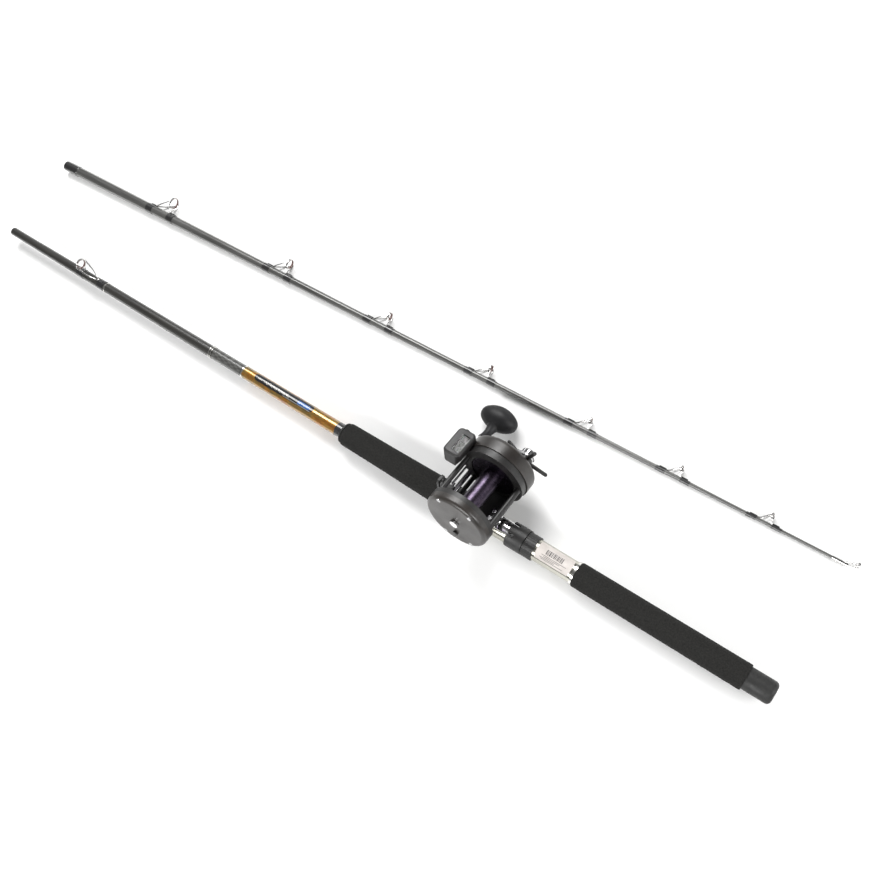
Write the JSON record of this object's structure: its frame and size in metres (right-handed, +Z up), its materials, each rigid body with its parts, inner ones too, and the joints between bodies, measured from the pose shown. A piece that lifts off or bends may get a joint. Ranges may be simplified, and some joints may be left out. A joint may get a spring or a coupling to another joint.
{
  "type": "fishing rod and reel",
  "caption": "Two-piece trolling rod laid out in sections, with a star-drag level-wind multiplier reel and line counter.",
  "frame": {"origin": "middle of the laid-out rod, on the ground", "axes": "+X along the butt section towards its cap, +Y towards the tip section and the reel's handle, +Z up"},
  "size_m": [1.2591, 0.2096, 0.1177],
  "materials": {
    "graphite_blank": "semi-gloss dark graphite",
    "tip_blank_grey": "semi-gloss grey graphite",
    "eva_foam": "matt closed-cell foam",
    "black_rubber": "matt",
    "seat_silver": "satin silver seat tube",
    "amber_thread": "varnished amber thread",
    "black_thread": "varnished black thread",
    "silver_trim": "bright",
    "guide_steel": "polished stainless wire",
    "ring_ceramic": "brown ceramic ring",
    "reel_graphite": "moulded black graphite",
    "spool_metal": "dark anodised",
    "steel": "machined steel",
    "chrome": "plated",
    "brass": "machined brass",
    "drag_fibre": "woven drag washer",
    "knob_rubber": "soft-touch",
    "clear_lens": "clear window",
    "digit_white": "white number wheel"
  },
  "bodies": {
    "rod": {"butt_blank": "graphite_blank", "winding_check": "black_rubber", "fore_grip": "eva_foam", "fixed_hood": "reel_graphite", "seat_tube": "seat_silver", "rear_grip": "eva_foam", "butt_cap": "black_rubber", "amber_wrap": "amber_thread", "trim_rings": "silver_trim", "stripper_frame": "guide_steel", "stripper_ring": "ring_ceramic", "butt_wraps": "black_thread", "reel_foot": "chrome", "reel_frame": "reel_graphite", "guide_bar": "chrome", "tail_plate": "reel_graphite", "gear_plate": "reel_graphite", "gear_cover": "reel_graphite", "reel_screws": "steel", "spool_bearings": "steel", "anti_reverse_dog": "steel", "counter_housing": "reel_graphite", "counter_lens": "clear_lens"},
    "tip_section": {"tip_blank": "tip_blank_grey", "ferrule_wrap": "black_thread", "tip_wraps": "black_thread", "tip_top": "guide_steel", "tip_guide_rings": "ring_ceramic", "tip_guide_1": "guide_steel", "tip_guide_2": "guide_steel", "tip_guide_3": "guide_steel", "tip_guide_4": "guide_steel", "tip_guide_5": "guide_steel", "tip_guide_6": "guide_steel", "tip_guide_7": "guide_steel"},
    "seat_hood": {"sliding_hood": "reel_graphite"},
    "seat_nut": {"lock_nut": "reel_graphite"},
    "spool_set": {"spool": "spool_metal", "spool_shaft": "steel"},
    "pinion_set": {"pinion": "brass"},
    "yoke": {"pinion_yoke": "steel"},
    "free_spool": {"free_spool_lever": "chrome"},
    "idler": {"idler_gear": "reel_graphite"},
    "worm": {"worm_shaft": "chrome"},
    "level_wind": {"line_guide": "reel_graphite"},
    "crank": {"gear_sleeve": "brass", "main_gear": "brass", "drag_washers": "drag_fibre", "anti_reverse_ratchet": "steel", "handle_arm": "steel", "handle_nut": "chrome", "knob_spindle": "steel"},
    "knob": {"handle_knob": "knob_rubber"},
    "star": {"star_drag": "reel_graphite"},
    "spool_cap": {"tension_cap": "chrome"},
    "clicker": {"click_button": "reel_graphite"},
    "counter_reset": {"counter_reset_button": "black_rubber"},
    "units_digit": {"units_wheel": "digit_white"},
    "tens_digit": {"tens_wheel": "digit_white"},
    "hundreds_digit": {"hundreds_wheel": "digit_white"}
  },
  "joints": [
    {"name": "tip_section_lift", "type": "slide", "parent": "rod", "child": "tip_section", "axis": [0, 0, 1], "range_m": [0, 0.25]},
    {"name": "handle_crank", "type": "hinge", "parent": "rod", "child": "crank", "pos_m": [0.265, 0.00998, 0.04797], "axis": [0, -0.9272, 0.3746], "range_deg": [0, 1080]},
    {"name": "spool_turn", "type": "hinge", "parent": "rod", "child": "spool_set", "pos_m": [0.2444, -0.04827, 0.06396], "axis": [0, -0.9272, 0.3746], "range_deg": [-3240, 0]},
    {"name": "yoke_shift", "type": "slide", "parent": "rod", "child": "yoke", "axis": [0, 0.9272, -0.3746], "range_m": [0, 0.005]},
    {"name": "pinion_turn", "type": "hinge", "parent": "yoke", "child": "pinion_set", "pos_m": [0.2444, -0.00933, 0.04823], "axis": [0, -0.9272, 0.3746], "range_deg": [-3240, 0]},
    {"name": "idler_turn", "type": "hinge", "parent": "rod", "child": "idler", "pos_m": [0.22891, -0.087, 0.07221], "axis": [0, -0.9272, 0.3746], "range_deg": [0, 1220]},
    {"name": "worm_turn", "type": "hinge", "parent": "rod", "child": "worm", "pos_m": [0.21343, -0.05341, 0.05123], "axis": [0, -0.9272, 0.3746], "range_deg": [-3240, 0]},
    {"name": "line_guide_travel", "type": "slide", "parent": "rod", "child": "level_wind", "axis": [0, 0.9272, -0.3746], "range_m": [0, 0.0315]},
    {"name": "units_digit_turn", "type": "hinge", "parent": "rod", "child": "units_digit", "pos_m": [0.2034, -0.00737, 0.07709], "axis": [0, -0.9272, 0.3746], "range_deg": [0, 109]},
    {"name": "tens_digit_turn", "type": "hinge", "parent": "rod", "child": "tens_digit", "pos_m": [0.2034, -0.01386, 0.07972], "axis": [0, -0.9272, 0.3746], "range_deg": [0, 11]},
    {"name": "hundreds_digit_turn", "type": "hinge", "parent": "rod", "child": "hundreds_digit", "pos_m": [0.2034, -0.02035, 0.08234], "axis": [0, -0.9272, 0.3746], "range_deg": [0, 1.1]},
    {"name": "knob_spin", "type": "hinge", "parent": "crank", "child": "knob", "pos_m": [0.2012, 0.02679, 0.02285], "axis": [0, -0.9272, 0.3746], "continuous": true},
    {"name": "star_drag_turn", "type": "hinge", "parent": "crank", "child": "star", "pos_m": [0.265, 0.01277, 0.04685], "axis": [0, -0.9272, 0.3746], "range_deg": [-180, 180]},
    {"name": "free_spool_throw", "type": "hinge", "parent": "rod", "child": "free_spool", "pos_m": [0.2344, 0.00833, 0.05188], "axis": [0, -0.9272, 0.3746], "range_deg": [0, 35]},
    {"name": "tension_cap_turn", "type": "hinge", "parent": "rod", "child": "spool_cap", "pos_m": [0.2444, -0.09185, 0.08157], "axis": [0, -0.9272, 0.3746], "range_deg": [-180, 180]},
    {"name": "click_slide", "type": "slide", "parent": "rod", "child": "clicker", "axis": [0, 0.3746, 0.9272], "range_m": [0, 0.003]},
    {"name": "counter_reset_press", "type": "slide", "parent": "rod", "child": "counter_reset", "axis": [0, -0.9272, 0.3746], "range_m": [0, 0.0024], "stiffness_N_per_m": 60, "springref_m": -0.002},
    {"name": "hood_travel", "type": "slide", "parent": "rod", "child": "seat_hood", "axis": [1, 0, 0], "range_m": [0, 0.012]},
    {"name": "lock_nut_turn", "type": "hinge", "parent": "seat_hood", "child": "seat_nut", "pos_m": [0.3174, -0.067, 0.0176], "axis": [1, 0, 0], "range_deg": [0, 2165]}
  ],
  "couplings": [
    {"joint": "spool_turn", "follows": "handle_crank", "ratio": -3},
    {"joint": "pinion_turn", "follows": "handle_crank", "ratio": -3},
    {"joint": "idler_turn", "follows": "handle_crank", "ratio": 1.125},
    {"joint": "worm_turn", "follows": "handle_crank", "ratio": -3},
    {"joint": "line_guide_travel", "follows": "handle_crank", "m_per_rad": 0.00167},
    {"joint": "units_digit_turn", "follows": "handle_crank", "ratio": 0.1},
    {"joint": "tens_digit_turn", "follows": "handle_crank", "ratio": 0.01},
    {"joint": "hundreds_digit_turn", "follows": "handle_crank", "ratio": 0.001},
    {"joint": "yoke_shift", "follows": "free_spool_throw", "m_per_rad": 0.0081},
    {"joint": "lock_nut_turn", "follows": "hood_travel", "rad_per_m": 3141.6}
  ]
}
